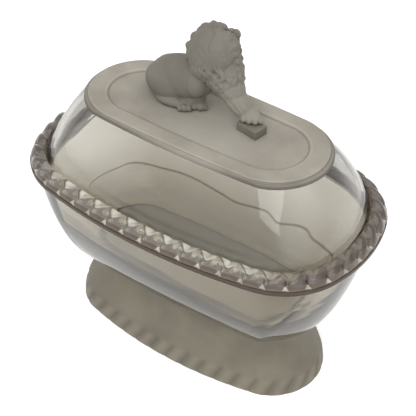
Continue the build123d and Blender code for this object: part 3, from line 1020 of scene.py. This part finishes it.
class DISH_OT_lion(bpy.types.Operator):
    """Adds the frosted lion and the block under its paw"""
    bl_idname = "dish.lion"
    bl_label = "Lion"

    def execute(self, context):
        settings = context.scene.dish_lion
        swellings = [form_matrix(form) for form in (*TRUNK, *HIND_PAWS, *TOES, *MANE, *FACE)]
        swellings += [curl_matrix(curl) for curl in CURLS]
        bm, small = bmesh.new(), bmesh.new()
        bmesh.ops.create_uvsphere(small, u_segments=32, v_segments=20, radius=1)
        repeat(bm, small, [lambda p, m=m: m @ p for m in swellings])
        small = bmesh.new()
        turns = range(len(TURNS))
        tube(small, [[Vector((step, turn, 0)) for turn in turns] for step in range(LOCK_STEPS + 1)])
        locks = mane_locks(settings)
        repeat(bm, small, [lambda p, rings=rings: rings[round(p.x)][round(p.y)] for rings in locks])
        tube(bm, tail_rings())
        bmesh.ops.recalc_face_normals(bm, faces=bm.faces)
        stance = Matrix.Translation(Vector((0, LION_Y, RECESS_Z)) * MM)
        bmesh.ops.transform(bm, matrix=stance @ Matrix.Scale(MM, 4), verts=bm.verts)
        made = piece("lion_glass", bm, "cover", "frosted_lion_glass",
                     ("lion_body", "lion_mane"), sharp=180)
        fuse = made.modifiers.new("fuse", "REMESH")
        fuse.mode = "VOXEL"
        fuse.voxel_size = settings.grain
        fuse.use_smooth_shade = True
        soften = made.modifiers.new("soften", "SMOOTH")
        soften.factor = 0.5
        soften.iterations = 2
        keep_shape(made)
        cut_flat(made.data, (RECESS_Z - 0.1) * MM)

        bm = bmesh.new()
        middle = Matrix.Translation((Vector(BLOCK_PLACE) + Vector((0, 0, RECESS_Z))) * MM)
        turned = Matrix.Rotation(math.radians(BLOCK_TURN), 4, "Z")
        bmesh.ops.create_cube(bm, size=MM, matrix=middle @ turned @ Matrix.Diagonal((*BLOCK_SIZE, 1)))
        bmesh.ops.bevel(bm, geom=bm.edges[:], offset=0.5 * MM, segments=3, profile=0.5, affect="EDGES",
                        material=-1)
        piece("paw_block_glass", bm, "cover", "frosted_block_glass", ("lion_paw_block",))
        return {"FINISHED"}


def seen_rays(tree):
    """1 for what the camera, gloss or glass shows and 0 for the rest, and the same for gloss alone."""
    rays = node(tree, "LightPath").outputs
    seen = reckon(tree, "MAXIMUM", rays["Is Camera Ray"], rays["Is Transmission Ray"])
    return reckon(tree, "MAXIMUM", seen, rays["Is Glossy Ray"]), rays["Is Glossy Ray"]


def add_floor():
    """The pale floor, which shows as white paper with the dish's shadow on it."""
    bm = bmesh.new()
    bmesh.ops.create_grid(bm, x_segments=1, y_segments=1, size=3)
    mesh = bpy.data.meshes.new("floor")
    bm.to_mesh(mesh)
    bm.free()
    floor = add_object("floor", mesh)
    tree, shader = new_material("floor_paper")
    fill(tree, shader, Base_Color=(0.8, 0.8, 0.8), Roughness=0.9)
    glow = node(tree, "Emission", Strength=product(tree, seen_rays(tree)[0], FLOOR_GLOW))
    both = node(tree, "AddShader")
    join(tree, both.inputs[0], shader.outputs[0])
    join(tree, both.inputs[1], glow.outputs[0])
    fill(tree, tree.nodes["Material Output"], Surface=both.outputs[0])
    mesh.materials.append(bpy.data.materials["floor_paper"])


def add_world(scene):
    """Even white light, with soft brighter patches that only the glass shows."""
    scene.world = bpy.data.worlds.new("studio")
    scene.world.use_nodes = True
    tree = scene.world.node_tree
    seen, gloss = seen_rays(tree)
    even = node(tree, "MapRange", To_Min=WORLD_LIGHT, To_Max=WORLD_SEEN, Value=seen).outputs["Result"]
    sky = node(tree, "TexCoord").outputs["Generated"]
    glow = 0.0
    for way, spread, strength in SOFT_LIGHTS:
        toward = reckon(tree, "DOT_PRODUCT", sky, Vector(way).normalized(), kind="VectorMath")
        patch = reckon(tree, "POWER", fade(tree, toward, spread, 0.99), 1.3)
        glow = reckon(tree, "MULTIPLY_ADD", patch, strength, glow)
    strength = reckon(tree, "MULTIPLY_ADD", glow, gloss, even)
    fill(tree, tree.nodes["Background"], Color=(1, 1, 1), Strength=strength)


def add_camera(scene):
    """The camera at the photograph's angle."""
    camera = bpy.data.cameras.new("camera")
    held = add_object("camera", camera)
    turn, height, roll = math.radians(TURN), math.radians(HEIGHT), math.radians(ROLL)
    back = Vector((math.sin(turn) * math.cos(height), -math.cos(turn) * math.cos(height), math.sin(height)))
    right = Vector((math.cos(turn), math.sin(turn), 0))
    up = back.cross(right)
    turned_right = right * math.cos(roll) - up * math.sin(roll)
    turned_up = right * math.sin(roll) + up * math.cos(roll)
    axes = Matrix((turned_right, turned_up, back)).transposed().to_4x4()
    held.matrix_world = Matrix.Translation(AIM + back * DISTANCE) @ axes
    camera.sensor_width = 36
    camera.lens = camera.sensor_width * FOCAL / FRAME
    camera.shift_x, camera.shift_y = (pixels / FRAME for pixels in SHIFT)
    camera.clip_start, camera.clip_end = 0.01, 20
    scene.camera = held


class DISH_OT_stage(bpy.types.Operator):
    """Adds the floor, the lamps, the world and the camera"""
    bl_idname = "dish.stage"
    bl_label = "Stage"

    def execute(self, context):
        add_floor()
        add_world(context.scene)
        for name, spot, size, power in LAMPS:
            lamp = bpy.data.lights.new(name, "AREA")
            lamp.size, lamp.energy = size, power
            held = add_object(name, lamp)
            held.location = spot
            held.rotation_mode = "QUATERNION"
            held.rotation_quaternion = (Vector((0, 0, 0.1)) - Vector(spot)).to_track_quat("-Z", "Y")
        add_camera(context.scene)
        context.scene.view_settings.view_transform = "Standard"
        return {"FINISHED"}


class DISH_PT_panel(bpy.types.Panel):
    """Lists the dish's pieces in the 3D view's sidebar"""
    bl_label = "Covered oval dish"
    bl_space_type = "VIEW_3D"
    bl_region_type = "UI"
    bl_category = "Dish"

    def draw(self, context):
        for group in (context.scene.dish_finish, context.scene.dish_rope, context.scene.dish_lion):
            box = self.layout.box()
            for name in group.__annotations__:
                box.prop(group, name)
        for operator in OPERATORS:
            self.layout.operator(operator.bl_idname)


OPERATORS = (
    DISH_OT_materials,
    DISH_OT_bowl,
    DISH_OT_foot,
    DISH_OT_cover,
    DISH_OT_panel,
    DISH_OT_lion,
    DISH_OT_stage,
)
CLASSES = (FinishSettings, RopeSettings, LionSettings, *OPERATORS, DISH_PT_panel)


def register():
    """Registers the settings, operators and panel."""
    for cls in CLASSES:
        bpy.utils.register_class(cls)
    bpy.types.Scene.dish_finish = PointerProperty(type=FinishSettings)
    bpy.types.Scene.dish_rope = PointerProperty(type=RopeSettings)
    bpy.types.Scene.dish_lion = PointerProperty(type=LionSettings)


def unregister():
    """Takes them out again."""
    del bpy.types.Scene.dish_lion
    del bpy.types.Scene.dish_rope
    del bpy.types.Scene.dish_finish
    for cls in reversed(CLASSES):
        bpy.utils.unregister_class(cls)


def main():
    """Builds every piece in order."""
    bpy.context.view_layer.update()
    register()
    bpy.ops.dish.materials()
    bpy.ops.dish.bowl()
    bpy.ops.dish.foot()
    bpy.ops.dish.cover()
    bpy.ops.dish.panel()
    bpy.ops.dish.lion()
    bpy.ops.dish.stage()


if __name__ == "__main__":
    main()
